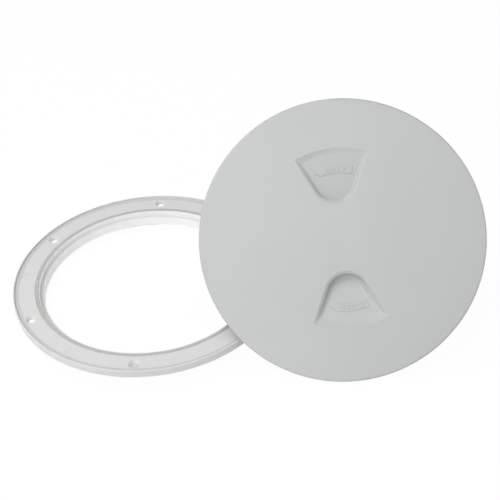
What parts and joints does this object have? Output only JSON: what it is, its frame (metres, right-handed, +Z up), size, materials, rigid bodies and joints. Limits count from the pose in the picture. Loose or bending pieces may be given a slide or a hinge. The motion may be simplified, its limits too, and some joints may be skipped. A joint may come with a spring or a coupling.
{
  "type": "deck inspection plate",
  "caption": "Round screw-down deck inspection plate: flanged frame ring with a seal, and its screw-in lid taken off and leaning on the ring.",
  "frame": {"origin": "On the frame ring's axis, in the plane of the flange's foot, which is the deck's surface.", "axes": "+Z up out of the deck along the ring's axis; one screw hole on +Y; the lid stands on the +X side and faces -Y and up."},
  "size_m": [0.3489, 0.205, 0.1408],
  "materials": {
    "ring_plastic": "satin moulded plastic, very light grey",
    "lid_plastic": "satin moulded plastic, light grey",
    "seal_rubber": "matt grey rubber"
  },
  "bodies": {
    "root": {"frame_ring": "ring_plastic", "seal_ring": "seal_rubber", "lid": "lid_plastic"}
  },
  "joints": []
}
